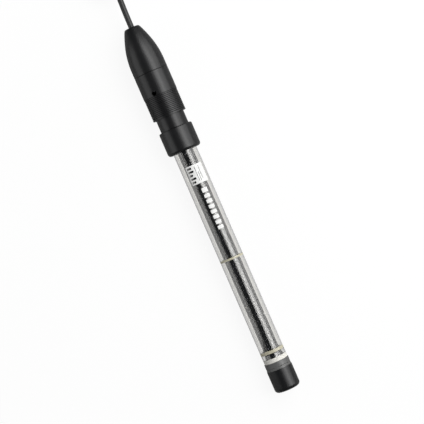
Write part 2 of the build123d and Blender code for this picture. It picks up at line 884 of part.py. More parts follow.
with BuildPart() as bayonet_slot:
    with BuildLine() as slot_path:
        Helix(
            pitch=bayonet_rise * 360 / bayonet_sweep,
            height=bayonet_rise,
            radius=slot_middle_radius,
            center=(0, 0, bayonet_entry),
        )
    with BuildSketch(Plane(
        origin=slot_path.line @ 0, x_dir=(1, 0, 0), z_dir=slot_path.line % 0
    )):
        Rectangle(slot_depth, bayonet_width)
    sweep(path=slot_path.line, is_frenet=True)
    for end in (0, 1):
        with BuildSketch(Plane(
            origin=(0, 0, (slot_path.line @ end).Z),
            x_dir=(0, 0, 1),
            z_dir=((slot_path.line @ end).X, (slot_path.line @ end).Y, 0),
        )):
            Circle(bayonet_width / 2)
        extrude(amount=coupling_front_radius + cutter_overrun)
    with BuildSketch(Plane.XY.offset(-cutter_overrun)):
        with Locations((slot_middle_radius, 0)):
            Rectangle(slot_depth, bayonet_width)
    extrude(amount=bayonet_entry + cutter_overrun)

with BuildPart() as coupling_ring:
    revolve(plug_section(
        (coupling_start, neck_outer_radius + running_clearance),
        (coupling_start, coupling_radius - flute_radius),
        (coupling_start + flute_radius, coupling_radius),
        (coupling_grip_end - flute_radius, coupling_radius),
        (coupling_grip_end, coupling_radius - flute_radius),
        (coupling_grip_end, coupling_front_radius),
        (coupling_end, coupling_front_radius),
        (coupling_end, coupling_bore_radius),
        (coupling_cavity_end, coupling_bore_radius),
        (coupling_cavity_end, coupling_cavity_radius),
        (coupling_start + coupling_lip, coupling_cavity_radius),
        (coupling_start + coupling_lip, neck_outer_radius + running_clearance),
    ), axis=plug_axis)
    with BuildSketch(across_plug(coupling_start)):
        with PolarLocations(coupling_radius + flute_stand_off, flute_count, start_angle=180 / flute_count):
            Circle(flute_radius)
    extrude(amount=coupling_grip_length, mode=Mode.SUBTRACT)
    slot_plane = Plane(origin=plug_frame.from_local_coords((coupling_end, 0, 0)), z_dir=(-1, 0, 0))
    for turn in (0, 180):
        add(slot_plane.location * Rot(0, 0, turn) * bayonet_slot.part, mode=Mode.SUBTRACT)
save(coupling_ring, "coupling_ring")
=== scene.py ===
import logging
import math
from dataclasses import dataclass
from enum import Enum

import bmesh
import bpy
from mathutils import Matrix, Vector


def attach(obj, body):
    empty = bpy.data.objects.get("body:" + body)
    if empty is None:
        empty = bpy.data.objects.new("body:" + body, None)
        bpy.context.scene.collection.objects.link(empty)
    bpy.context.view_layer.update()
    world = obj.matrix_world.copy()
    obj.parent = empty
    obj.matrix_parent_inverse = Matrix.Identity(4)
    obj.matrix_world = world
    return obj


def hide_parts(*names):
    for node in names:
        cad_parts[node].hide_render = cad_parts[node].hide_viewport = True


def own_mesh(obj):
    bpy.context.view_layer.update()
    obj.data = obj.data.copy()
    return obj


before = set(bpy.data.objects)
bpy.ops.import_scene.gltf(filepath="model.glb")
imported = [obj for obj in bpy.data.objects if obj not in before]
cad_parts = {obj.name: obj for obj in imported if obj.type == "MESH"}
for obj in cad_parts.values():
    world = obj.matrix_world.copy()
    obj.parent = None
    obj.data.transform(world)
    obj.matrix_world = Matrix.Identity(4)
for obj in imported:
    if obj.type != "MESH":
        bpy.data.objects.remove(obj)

log = logging.getLogger("chloride_electrode")

MM = 0.001
HANK_MIDDLE = 147.5
HANK_LAYERS = (7.6, 4.8, 2.0)
Colour = tuple[float, float, float]
Spot = tuple[float, float, float]


class Body(Enum):
    """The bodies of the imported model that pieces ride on."""

    STEM = "cap_stem_and_lead"
    SLEEVE = "sliding_sleeve"


class Sheen(Enum):
    """How smooth a moulded surface is, as a roughness."""

    SATIN = 0.33
    SOFT = 0.48
    MATT = 0.62


def shade(red: int, green: int, blue: int) -> Colour:
    """Turn a displayed colour, 0 to 255 a channel, into linear light.

    Args:
        red: Displayed red.
        green: Displayed green.
        blue: Displayed blue.

    Returns:
        The three linear values, 0 to 1.
    """

    def linear(value: int) -> float:
        """One channel in linear light."""
        part = value / 255
        return part / 12.92 if part <= 0.04045 else ((part + 0.055) / 1.055) ** 2.4

    return linear(red), linear(green), linear(blue)


# Materials


class Signal:
    """A number, colour or vector inside a material, with plain arithmetic."""

    def __init__(self, paint: "Paint", socket: bpy.types.NodeSocket) -> None:
        """Wrap one output socket of a material's nodes."""
        self.paint = paint
        self.socket = socket

    def __add__(self, other: "Signal | float") -> "Signal":
        """Sum."""
        return self.paint.math("ADD", self, other)

    def __radd__(self, other: float) -> "Signal":
        """Sum, with the number first."""
        return self.paint.math("ADD", other, self)

    def __sub__(self, other: "Signal | float") -> "Signal":
        """Difference."""
        return self.paint.math("SUBTRACT", self, other)

    def __rsub__(self, other: float) -> "Signal":
        """Difference, with the number first."""
        return self.paint.math("SUBTRACT", other, self)

    def __mul__(self, other: "Signal | float") -> "Signal":
        """Product."""
        return self.paint.math("MULTIPLY", self, other)

    def __rmul__(self, other: float) -> "Signal":
        """Product, with the number first."""
        return self.paint.math("MULTIPLY", other, self)


class Paint:
    """The nodes of one material, made through a few plain calls."""

    def __init__(self, name: str) -> None:
        """Start an empty material.

        Args:
            name: The material's name.
        """
        self.material = bpy.data.materials.new(name)
        self.material.use_nodes = True
        self.nodes = self.material.node_tree.nodes
        self.links = self.material.node_tree.links
        self.nodes.clear()
        self._place: Signal | None = None

    def node(self, kind: str, settings: dict | None = None,
             sockets: dict | None = None) -> bpy.types.Node:
        """Add a node.

        Args:
            kind: The node's type name.
            settings: Its settings, set first.
            sockets: Values or signals for its inputs, by name or number.

        Returns:
            The node.
        """
        made = self.nodes.new(kind)
        for name, value in (settings or {}).items():
            setattr(made, name, value)
        for name, value in (sockets or {}).items():
            target = made.inputs[name]
            if isinstance(value, Signal):
                self.links.new(value.socket, target)
            elif isinstance(value, tuple) and target.type == "RGBA":
                target.default_value = (*value, 1.0)
            else:
                target.default_value = value
        return made

    def signal(self, kind: str, settings: dict | None = None, sockets: dict | None = None,
               output: str | int = 0) -> Signal:
        """Add a node and wrap one of its outputs.

        Args:
            kind: The node's type name.
            settings: Its settings.
            sockets: Values or signals for its inputs.
            output: The output's name or number.

        Returns:
            The wrapped output.
        """
        return Signal(self, self.node(kind, settings, sockets).outputs[output])

    def math(self, operation: str, *values: "Signal | float") -> Signal:
        """Add one Math node.

        Args:
            operation: The node's operation.
            values: Its one or two inputs.

        Returns:
            The result.
        """
        return self.signal("ShaderNodeMath", {"operation": operation}, dict(enumerate(values)))

    def place(self) -> Signal:
        """The point on the object in metres, the same in every part of it."""
        if self._place is None:
            self._place = self.signal("ShaderNodeTexCoord", output="Object")
        return self._place

    def stretched(self, along: float, across: float) -> Signal:
        """The point with its two directions scaled apart.

        Args:
            along: Scale along the body.
            across: Scale across it.

        Returns:
            The scaled point.
        """
        return self.signal("ShaderNodeVectorMath", {"operation": "MULTIPLY"},
                           {0: self.place(), 1: (along, across, across)})

    def noise(self, size: float, detail: float, rough: float,
              place: Signal | None = None) -> Signal:
        """Soft noise from 0 to 1.

        Args:
            size: The size of its blotches in millimetres.
            detail: How many finer octaves it has.
            rough: How strong they are.
            place: The point to read, if not the plain one.

        Returns:
            The noise.
        """
        return self.signal("ShaderNodeTexNoise", {}, {
            "Vector": place or self.place(), "Scale": 1 / (size * MM),
            "Detail": detail, "Roughness": rough})

    def cells(self, size: float) -> Signal:
        """Distances to the nearest centre in a pattern of random cells.

        Args:
            size: The size of a cell in millimetres.

        Returns:
            The distance, in cells.
        """
        return self.signal("ShaderNodeTexVoronoi", {"feature": "F1"},
                           {"Vector": self.place(), "Scale": 1 / (size * MM)}, "Distance")

    def band(self, value: Signal, low: float, high: float) -> Signal:
        """Rise smoothly from 0 to 1 as a value goes from low to high.

        Args:
            value: The value that is read.
            low: Where the rise starts.
            high: Where it ends.

        Returns:
            The mask.
        """
        return self.signal("ShaderNodeMapRange", {"interpolation_type": "SMOOTHSTEP"},
                           {"Value": value, "From Min": low, "From Max": high})

    def blend(self, factor: Signal, low: "Signal | Colour", high: "Signal | Colour") -> Signal:
        """Mix two colours.

        Args:
            factor: 0 gives the first colour, and 1 the second.
            low: The first colour.
            high: The second colour.

        Returns:
            The mixed colour.
        """
        made = self.node("ShaderNodeMix", {"data_type": "RGBA"}, {0: factor, 6: low, 7: high})
        return Signal(self, made.outputs[2])

    def relief(self, height: Signal, depth: float, strength: float) -> Signal:
        """Turn heights into a surface direction.

        Args:
            height: Heights from 0 to 1.
            depth: What a height of 1 means, in millimetres.
            strength: How much of the effect is used.

        Returns:
            The direction, for a Normal socket.
        """
        return self.signal("ShaderNodeBump", {}, {
            "Strength": strength, "Distance": depth * MM, "Height": height})

    def surface(self, **sockets: "Signal | float | Colour") -> bpy.types.Material:
        """Close the material with a Principled surface.

        Args:
            sockets: Its inputs, with the spaces in their names written as underscores.

        Returns:
            The finished material.
        """
        named = {name.replace("_", " "): value for name, value in sockets.items()}
        shader = self.node("ShaderNodeBsdfPrincipled", {}, named)
        self.node("ShaderNodeOutputMaterial", {}, {"Surface": Signal(self, shader.outputs[0])})
        return self.material


@dataclass(frozen=True)
class MouldedPlastic:
    """Opaque moulded plastic or rubber, with a fine grain, faint flow marks and a little wear."""

    name: str
    colour: Colour
    sheen: Sheen = Sheen.SATIN
    grain: float = 0.28
    grain_depth: float = 0.012
    lift: float = 1.35

    def paint(self) -> bpy.types.Material:
        """Make the material."""
        paint = Paint(self.name)
        grain = paint.cells(self.grain) * 0.6 + paint.noise(self.grain * 0.6, 3.0, 0.6) * 0.4
        flow = paint.noise(9.0, 3.0, 0.55, paint.stretched(0.35, 1.0))
        scratched = paint.noise(1.4, 5.0, 0.72, paint.stretched(0.3, 1.0))
        scuffs = paint.band(scratched, 0.60, 0.74)
        pale = tuple(min(1.0, part * self.lift + 0.002) for part in self.colour)
        base = paint.blend(flow * 0.5 + scuffs * 0.35, self.colour, pale)
        rough = self.sheen.value + (flow - 0.5) * 0.10 + scuffs * 0.10
        return paint.surface(Base_Color=base, Roughness=rough, IOR=1.49,
                             Normal=paint.relief(grain, self.grain_depth, 0.6))


@dataclass(frozen=True)
class PolishedTube:
    """A drawn, glossy black tube with faint lines along it."""

    name: str
    colour: Colour

    def paint(self) -> bpy.types.Material:
        """Make the material."""
        paint = Paint(self.name)
        lines = paint.noise(0.5, 2.0, 0.5, paint.stretched(0.02, 1.0))
        haze = paint.noise(6.0, 3.0, 0.6)
        base = paint.blend(haze, self.colour, tuple(part * 1.5 for part in self.colour))
        rough = 0.07 + haze * 0.05 + lines * 0.03
        return paint.surface(Base_Color=base, Roughness=rough, IOR=1.95,
                             Normal=paint.relief(lines, 0.0015, 0.4))


@dataclass(frozen=True)
class ClearPlastic:
    """Clear drawn plastic with faint drawing lines and a slight tint, with painted shade that
    darkens the tint toward the tube's sides as seen from above.
    """

    name: str
    tint: Colour
    roughness: float = 0.012
    # Painted shade: the share of the tint left at the tube's sides, darkening them as the walls'
    # refraction would.
    side: float = 0.8
    edge_shade_begins: float = 4.9
    edge_shade_full: float = 5.6

    def paint(self) -> bpy.types.Material:
        """Make the material."""
        paint = Paint(self.name)
        lines = paint.noise(0.9, 2.0, 0.5, paint.stretched(0.015, 1.0))
        handling = paint.band(paint.noise(3.0, 5.0, 0.7), 0.55, 0.8)
        clear = paint.blend(handling, self.tint, tuple(part * 0.985 for part in self.tint))
        # Painted shade: the tint darkens with distance from the axis along Y, so the tube's sides
        # look darker from above; it is not a real colour of the tube.
        across = paint.signal("ShaderNodeSeparateXYZ", {}, {"Vector": paint.place()}, "Y")
        aside = paint.math("ABSOLUTE", across)
        sides = paint.band(aside, self.edge_shade_begins * MM, self.edge_shade_full * MM)
        base = paint.blend(sides, clear, tuple(part * self.side for part in self.tint))
        return paint.surface(Base_Color=base, Roughness=self.roughness + handling * 0.02, IOR=1.45,
                             Transmission_Weight=1.0, Normal=paint.relief(lines, 0.0006, 0.3))


@dataclass(frozen=True)
class CastResin:
    """Slightly see-through cast resin or adhesive, a little uneven."""

    name: str
    colour: Colour
    deep: Colour
    clearness: float

    def paint(self) -> bpy.types.Material:
        """Make the material."""
        paint = Paint(self.name)
        cloud = paint.noise(1.1, 4.0, 0.6)
        fine = paint.noise(0.22, 2.0, 0.5)
        base = paint.blend(cloud, self.colour, self.deep)
        return paint.surface(Base_Color=base, Roughness=0.2 + fine * 0.14, IOR=1.5,
                             Transmission_Weight=self.clearness,
                             Normal=paint.relief(fine, 0.01, 0.5))


@dataclass(frozen=True)
class PorousCeramic:
    """Fired white ceramic with fine open pores."""

    name: str
    colour: Colour

    def paint(self) -> bpy.types.Material:
        """Make the material."""
        paint = Paint(self.name)
        pores = paint.band(paint.cells(0.16), 0.05, 0.34)
        cloud = paint.noise(1.6, 4.0, 0.6)
        dull = tuple(part * 0.86 for part in self.colour)
        pitted = tuple(part * 0.62 for part in self.colour)
        base = paint.blend(pores, pitted, paint.blend(cloud, dull, self.colour))
        return paint.surface(Base_Color=base, Roughness=0.68 - cloud * 0.12, IOR=1.5,
                             Normal=paint.relief(pores, 0.02, 0.5))


@dataclass(frozen=True)
class PressedPellet:
    """A pressed and polished salt pellet: dark, with pale crystals and fine polishing scratches."""

    name: str
    colour: Colour
    crystal: Colour

    def paint(self) -> bpy.types.Material:
        """Make the material."""
        paint = Paint(self.name)
        grains = paint.cells(0.22)
        bright = paint.band(paint.noise(0.18, 3.0, 0.7), 0.56, 0.68)
        polished = paint.signal("ShaderNodeVectorMath", {"operation": "MULTIPLY"},
                                {0: paint.place(), 1: (1.0, 0.06, 1.0)})
        scratches = paint.noise(0.12, 2.0, 0.5, polished)
        pale = tuple(part * 1.8 for part in self.colour)
        base = paint.blend(bright * 0.8, paint.blend(grains, self.colour, pale), self.crystal)
        return paint.surface(Base_Color=base, Metallic=0.25 * bright, IOR=2.0,
                             Roughness=0.24 + scratches * 0.2,
                             Normal=paint.relief(grains + scratches * 0.5, 0.012, 0.5))


@dataclass(frozen=True)
class TurnedMetal:
    """Metal with fine marks from turning or drawing, and a little tarnish."""

    name: str
    colour: Colour
    tarnish: Colour
    roughness: float = 0.22
    mark: float = 0.09
    drawn: bool = False

    def paint(self) -> bpy.types.Material:
        """Make the material."""
        paint = Paint(self.name)
        stretch = (0.05, 1.0) if self.drawn else (1.0, 0.05)
        marks = paint.noise(self.mark, 2.0, 0.5, paint.stretched(*stretch))
        dull = paint.band(paint.noise(1.8, 5.0, 0.68), 0.48, 0.76)
        base = paint.blend(dull * 0.6, self.colour, self.tarnish)
        return paint.surface(Base_Color=base, Metallic=1.0,
                             Roughness=self.roughness + dull * 0.12 + (marks - 0.5) * 0.1,
                             Normal=paint.relief(marks, 0.006, 0.5))


@dataclass(frozen=True)
class ScreenInk:
    """Opaque printed ink: nearly even, with pinholes and softly worn places."""

    name: str
    colour: Colour

    def paint(self) -> bpy.types.Material:
        """Make the material."""
        paint = Paint(self.name)
        worn = paint.band(paint.noise(1.0, 6.0, 0.7), 0.62, 0.82)
        fine = paint.noise(0.08, 2.0, 0.5)
        thin = tuple(part * 0.72 for part in self.colour)
        base = paint.blend(worn, self.colour, thin)
        return paint.surface(Base_Color=base, Roughness=0.42 + fine * 0.12, IOR=1.46,
                             Normal=paint.relief(fine, 0.006, 0.5))


@dataclass(frozen=True)
class WovenStrap:
    """A soft hook and loop strap: short pile on a woven back."""

    name: str
    colour: Colour

    def paint(self) -> bpy.types.Material:
        """Make the material."""
        paint = Paint(self.name)
        pile = paint.cells(0.3) * 0.5 + paint.noise(0.2, 4.0, 0.8) * 0.5
        cloud = paint.noise(2.5, 3.0, 0.6)
        pale = tuple(part * 2.4 + 0.004 for part in self.colour)
        base = paint.blend(pile * 0.7 + cloud * 0.2, self.colour, pale)
        return paint.surface(Base_Color=base, Roughness=0.92, Sheen_Weight=0.25,
                             Sheen_Roughness=0.5, Normal=paint.relief(pile, 0.12, 0.8))


def finish_nodes(finishes: dict[str, bpy.types.Material]) -> None:
    """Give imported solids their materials.

    Args:
        finishes: The material of each node, by the node's name.
    """
    for name, material in finishes.items():
        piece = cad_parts[name]
        if not piece.material_slots:
            piece.data.materials.append(material)
        for slot in piece.material_slots:
            slot.material = material
        log.info("%s finished as %s", name, material.name)


# Places and meshes


@dataclass(frozen=True)
class BodyAxis:
    """The electrode's own axis, tilted because the body rests on its tip and its collar."""

    body_end: float = 191.7
    tip_radius: float = 6.5
    tip_rounding: float = 1.8
    collar_radius: float = 8.53
    collar_rest: float = 128.0

    @property
    def tilt(self) -> float:
        """The tilt in radians."""
        rise = self.collar_radius - self.tip_radius
        return math.atan2(rise, self.collar_rest - self.tip_rounding)

    @property
    def along(self) -> Vector:
        """The direction from the tip to the cable."""
        return Vector((math.cos(self.tilt), 0, math.sin(self.tilt)))

    @property
    def upward(self) -> Vector:
        """The direction square to the axis that points up."""
        return Vector((-math.sin(self.tilt), 0, math.cos(self.tilt)))

    @property
    def nose(self) -> Vector:
        """The axis at the sensing face, in millimetres."""
        height = self.tip_radius * math.cos(self.tilt) - self.tip_rounding * math.sin(self.tilt)
        return Vector((-self.body_end * math.cos(self.tilt) / 2, 0, height))

    def point(self, station: float, radius: float = 0.0, angle: float = 0.0) -> Vector:
        """A point round the axis.

        Args:
            station: Millimetres from the sensing face.
            radius: Millimetres from the axis.
            angle: Degrees from straight up toward the photo's left.

        Returns:
            The point in metres.
        """
        turn = math.radians(angle)
        outward = self.upward * math.cos(turn) + Vector((0, 1, 0)) * math.sin(turn)
        return (self.nose + self.along * station + outward * radius) * MM


AXIS = BodyAxis()


def new_piece(name: str, shape: bmesh.types.BMesh, material: bpy.types.Material, body: Body,
              smooth: bool = True) -> bpy.types.Object:
    """Turn a mesh into a finished piece that rides on a body.

    Args:
        name: The piece's name.
        shape: Its mesh, in metres in the shared frame.
        material: Its finish.
        body: The body that carries it.
        smooth: Whether its faces shade smoothly.

    Returns:
        The piece.
    """
    bmesh.ops.recalc_face_normals(shape, faces=shape.faces)
    data = bpy.data.meshes.new(name)
    shape.to_mesh(data)
    shape.free()
    for face in data.polygons:
        face.use_smooth = smooth
    data.materials.append(material)
    piece = bpy.data.objects.new(name, data)
    bpy.context.scene.collection.objects.link(piece)
    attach(piece, body.value)
    log.info("%s built with %d faces", name, len(data.polygons))
    return piece


@dataclass(frozen=True)
class CurvedFilm:
    """A thin film of ink on the clear tube, laid out on a grid of small squares."""

    start: float
    end: float
    left: float
    right: float
    cell: float = 0.25
    inner: float = 6.004
    outer: float = 6.03

    def build(self, windows: list[tuple[float, float, float, float]]) -> bmesh.types.BMesh:
        """Lay the film, leaving its windows open.

        Args:
            windows: Each one's station start, station end, left and right edge, in millimetres
                from the film's own corner.

        Returns:
            The mesh of the film, both faces and its edges.
        """
        columns = round((self.right - self.left) / self.cell)
        rows = round((self.end - self.start) / self.cell)
        shape = bmesh.new()
        layers: list[dict[tuple[int, int], bmesh.types.BMVert]] = [{}, {}]

        def is_open(row: int, column: int) -> bool:
            """Whether a square is off the film or in a window."""
            if not (0 <= row < rows and 0 <= column < columns):
                return True
            station, side = (row + 0.5) * self.cell, (column + 0.5) * self.cell
            return any(low <= station <= high and left <= side <= right
                       for low, high, left, right in windows)

        def corner(row: int, column: int, layer: int) -> bmesh.types.BMVert:
            """The corner of a square in one of the two layers."""
            if (row, column) not in layers[layer]:
                radius = (self.inner, self.outer)[layer]
                angle = -math.degrees((self.left + column * self.cell) / self.inner)
                spot = AXIS.point(self.start + row * self.cell, radius, angle)
                layers[layer][row, column] = shape.verts.new(spot)
            return layers[layer][row, column]

        for row in range(rows):
            for column in range(columns):
                if is_open(row, column):
                    continue
                square = [(row, column), (row, column + 1),
                          (row + 1, column + 1), (row + 1, column)]
                for layer in (0, 1):
                    shape.faces.new([corner(*spot, layer) for spot in square])
                sides = {(row - 1, column): (0, 1), (row, column + 1): (1, 2),
                         (row + 1, column): (2, 3), (row, column - 1): (3, 0)}
                for beside, (a, b) in sides.items():
                    if is_open(*beside):
                        shape.faces.new([corner(*square[a], 0), corner(*square[b], 0),
                                         corner(*square[b], 1), corner(*square[a], 1)])
        return shape


# The electrode's own parts

MOULDED_BLACK = shade(20, 20, 21)


@dataclass
class SensingTip:
    """The black tip with its pressed pellet, and the grey band behind it."""

    def dress(self) -> None:
        """Finish the tip's solids."""
        black = MouldedPlastic("tip_black", MOULDED_BLACK, Sheen.SATIN, 0.22, 0.006)
        salt = PressedPellet("pellet_salt", shade(44, 42, 44), shade(128, 124, 120))
        gilt = TurnedMetal("contact_gilt", shade(214, 176, 96), shade(176, 130, 66))
        grey = MouldedPlastic("band_grey", shade(96, 96, 95), Sheen.SATIN, 0.22, 0.006, 1.3)
        finish_nodes({
            "sensing_tip": black.paint(),
            "sensing_pellet": salt.paint(),
            "pellet_contact": gilt.paint(),
            "seal_band": grey.paint(),
        })


@dataclass
class InnerStem:
    """The glossy black stem inside the sleeve, with its inner junction and leads."""

    def dress(self) -> None:
        """Finish the stem's solids."""
        black = PolishedTube("stem_black", shade(18, 18, 20)).paint()
        ceramic = PorousCeramic("pin_ceramic", shade(232, 229, 220))
        white = MouldedPlastic("lead_white", shade(226, 224, 216), Sheen.SOFT, 0.2, 0.004, 1.05)
        silver = TurnedMetal("wire_silver", shade(222, 222, 220), shade(120, 112, 108), 0.25,
                             drawn=True)
        finish_nodes({
            "lower_stem": black,
            "upper_stem": black,
            "inner_junction": ceramic.paint(),
            "signal_lead": white.paint(),
            "reference_wire": silver.paint(),
        })


@dataclass
class SlidingSleeve:
    """The clear sleeve with its rings, printed marks and collar."""

    panel: CurvedFilm = CurvedFilm(109.2, 118.7, -3.5, 5.5)
    bars: CurvedFilm = CurvedFilm(85.0, 106.5, -0.2, 2.8)
    bar_count: int = 8
    bar_pitch: float = 2.75
    bar_gap: float = 1.0
    gap_sides: tuple[float, float] = (-1.0, 9.0)
    window_width: float = 1.0
    window_side: float = 0.5
    window_reaches: tuple[tuple[float, float], ...] = (
        (0.75, 2.0), (2.5, 2.75), (4.25, 1.75), (6.0, 2.75), (7.75, 2.25),
    )
    fine_lines: tuple[tuple[float, float, float, float], ...] = (
        (1.0, 8.5, 4.25, 4.5), (1.0, 5.5, 5.25, 5.5), (1.75, 8.5, 6.25, 6.5),
    )

    def build(self) -> None:
        """Build the printed film."""
        ink = ScreenInk("ink_white", shade(238, 238, 236)).paint()
        panel = self.panel.build(self._panel_windows())
        new_piece("printed_panel", panel, ink, Body.SLEEVE, False)
        bars = self.bars.build(self._bar_gaps())
        new_piece("printed_bars", bars, ink, Body.SLEEVE, False)

    def _bar_gaps(self) -> list[tuple[float, float, float, float]]:
        """The gaps that part the row of plain blocks."""
        ends = [index * self.bar_pitch for index in range(1, self.bar_count)]
        return [(end - self.bar_gap, end, *self.gap_sides) for end in ends]

    def _panel_windows(self) -> list[tuple[float, float, float, float]]:
        """Plain windows in the panel: short bars on one side, and fine lines beside them."""
        windows = [(start, start + self.window_width, self.window_side, self.window_side + reach)
                   for start, reach in self.window_reaches]
        return windows + list(self.fine_lines)

    def dress(self) -> None:
        """Finish the sleeve's solids."""
        clear = ClearPlastic("tube_clear", (0.985, 0.98, 0.962)).paint()
        cream = CastResin("ring_cream", shade(232, 228, 206), shade(214, 206, 178), 0.3).paint()
        cap = MouldedPlastic("cap_black", MOULDED_BLACK, Sheen.SATIN, 0.3, 0.01).paint()
        ceramic = PorousCeramic("ring_ceramic", shade(240, 238, 230)).paint()
        rubber = MouldedPlastic("seal_rubber", shade(30, 30, 30), Sheen.MATT, 0.15, 0.01)
        finish_nodes({
            "junction_ring": ceramic,
            "clear_ferrule": clear,
            "lower_ring": cream,
            "lower_tube": clear,
            "tube_joint_ring": cream,
            "upper_tube": clear,
            "sleeve_collar": cap,
            "collar_o_ring": rubber.paint(),
        })


@dataclass
class Cap:
    """The ribbed skirt, barrel, spring and cable boot."""

    travel: float = 4.0

    def load_spring(self) -> None:
        """Measure the spring's length along the axis and give it a mesh of its own."""
        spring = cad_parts["return_spring"]
        placed = spring.matrix_world
        stations = [AXIS.along.dot(placed @ vertex.co) for vertex in spring.data.vertices]
        near, far = min(stations), max(stations)
        tuple(AXIS.along * far)
        1 - self.travel * MM / (far - near)
        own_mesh(spring)
        log.info("spring of %.2f mm set to shorten", (far - near) / MM)

    def dress(self) -> None:
        """Finish the cap's solids."""
        barrel = MouldedPlastic("barrel_black", MOULDED_BLACK, Sheen.SATIN, 0.3, 0.01).paint()
        ribs = MouldedPlastic("rib_black", MOULDED_BLACK, Sheen.SATIN, 0.25, 0.012)
        spring = TurnedMetal("spring_steel", shade(186, 186, 188), shade(120, 116, 112), 0.2,
                             drawn=True)
        boot = MouldedPlastic("boot_black", MOULDED_BLACK, Sheen.SATIN, 0.32, 0.012)
        clamp = TurnedMetal("clamp_steel", shade(180, 182, 186), shade(116, 112, 108), 0.28)
        finish_nodes({
            "ribbed_skirt": ribs.paint(),
            "cap_barrel": barrel,
            "return_spring": spring.paint(),
            "cable_boot": boot.paint(),
            "cable_clamp": clamp.paint(),
        })


@dataclass
class Lead:
    """The cable: out of the boot, over the first fold of its hank, round it and to the plug."""

    diameter: float = 2.8
    length: float = 0.9
    boot_stations: tuple[float, ...] = (182.7, 198.5)
    hank_route: tuple[Spot, ...] = (
        (114.5, -0.56, 10.7), (121.5, -0.91, 10.7), (131.0, -1.26, 8.9), (144.0, -1.4, 7.6),
    )
    plug_route: tuple[Spot, ...] = (
        (167.6, -11.0, 2.0), (175.0, -11.0, 2.3), (181.5, -8.0, 4.8), (187.8, -5.0, 7.25),
        (200.0, -5.0, 7.25),
    )
    middle: float = HANK_MIDDLE
    fold_offset: float = 20.1
    outer_radius: float = 12.4
    waist_half: float = 5.4
    inner_turn: float = 8.4
    outer_turn: float = 11.0
    layers: tuple[float, float, float] = HANK_LAYERS
    leaving: float = 3.8
    fold_points: int = 8
    shift_points: int = 10
    waist_points: int = 3
    curve_steps: int = 8
    round_steps: int = 5

    @property
    def waist_radius(self) -> float:
        """The radius of the hank's sides where the tie draws them in."""
        spare = self.fold_offset**2 + self.waist_half**2 - self.outer_radius**2
        return spare / 2 / (self.outer_radius - self.waist_half)

    @property
    def slots(self) -> list[tuple[float, float]]:
        """The turns' places, as fold radius and height, from the top turn to the lowest."""
        top, middle, low = self.layers
        return [(self.inner_turn, top), (self.outer_turn, top), (self.outer_turn, middle),
                (self.inner_turn, middle), (self.inner_turn, low), (self.outer_turn, low)]

    def _fold(self, side: int, slot: tuple, following: tuple, window: int) -> list[Vector]:
        """The control points round one fold.

        Args:
            side: 1 for the fold toward the plug, -1 for the one toward the electrode.
            slot: The turn's radius and height where it enters.
            following: Its radius and height where it leaves.
            window: Which part of the fold the change takes place in, counted in pairs of points.

        Returns:
            The points in millimetres.
        """
        opening = math.atan2(self.waist_half + self.waist_radius, self.fold_offset)
        count = self.fold_points if side > 0 else self.shift_points
        span = 2 * (math.pi - opening)
        start = -(math.pi - opening) if side > 0 else opening
        points = []
        for index in range(count):
            share = min(max((index - 2 * window + 0.5) / 2, 0.0), 1.0)
            radius = slot[0] + share * (following[0] - slot[0])
            height = slot[1] + share * (following[1] - slot[1])
            angle = start + span * (index + 0.5) / count
            reach = radius / math.cos(span / count / 2)
            x = self.middle + side * self.fold_offset + reach * math.cos(angle)
            points.append(Vector((x, reach * math.sin(angle), height)))
        return points

    def _waist(self, side: int, slot: tuple, first: int = 0) -> list[Vector]:
        """The control points past the tie.

        Args:
            side: 1 on the photo's left, -1 on its right.
            slot: The turn's radius and height.
            first: How many points are left out at the start.

        Returns:
            The points in millimetres.
        """
        opening = math.atan2(self.waist_half + self.waist_radius, self.fold_offset)
        span = math.pi - 2 * opening
        radius = self.outer_radius + self.waist_radius - slot[0]
        radius = radius / math.cos(span / self.waist_points / 2)
        points = []
        for index in range(first, self.waist_points):
            turn = opening + span * (index + 0.5) / self.waist_points
            x = self.middle + side * radius * math.cos(turn)
            y = side * (self.waist_half + self.waist_radius - radius * math.sin(turn))
            points.append(Vector((x, y, slot[1])))
        return points

    def points(self) -> list[Vector]:
        """All control points of the cable's line.

        Returns:
            The points in metres.
        """
        line = [AXIS.point(station) / MM for station in self.boot_stations]
        line += [Vector(spot) for spot in self.hank_route]
        slots = self.slots
        line += self._waist(-1, slots[0], first=1)
        for turn in range(len(slots) - 1):
            line += self._fold(1, slots[turn], slots[turn], 0)
            line += self._waist(1, slots[turn])
            line += self._fold(-1, slots[turn], slots[turn + 1], len(slots) - 2 - turn)
            line += self._waist(-1, slots[turn + 1])
        last = self.middle + self.fold_offset - self.leaving
        line += [Vector((last, -self.outer_turn, self.layers[-1]))]
        line += [Vector(spot) for spot in self.plug_route]
        return [spot * MM for spot in line]

    def build(self) -> bpy.types.Object:
        """Build the cable as one smooth curve.

        Returns:
            The cable.
        """
        data = bpy.data.curves.new("lead", "CURVE")
        data.dimensions = "3D"
        data.resolution_u = self.curve_steps
        data.bevel_depth = self.diameter * MM / 2
        data.bevel_resolution = self.round_steps
        data.use_fill_caps = True
        spline = data.splines.new("NURBS")
        points = self.points()
        spline.points.add(len(points) - 1)
        for target, spot in zip(spline.points, points):
            target.co = (*spot, 1.0)
        spline.order_u = 3
        spline.use_endpoint_u = True
        lead = bpy.data.objects.new("lead", data)
        bpy.context.scene.collection.objects.link(lead)
        jacket = MouldedPlastic("jacket_black", shade(40, 40, 40), Sheen.SOFT, 0.18, 0.01, 1.5)
        data.materials.append(jacket.paint())
        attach(lead, Body.STEM.value)
        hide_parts("cable", "cable_hank", "plug_lead")
        log.info("lead built with %d points", len(points))
        return lead


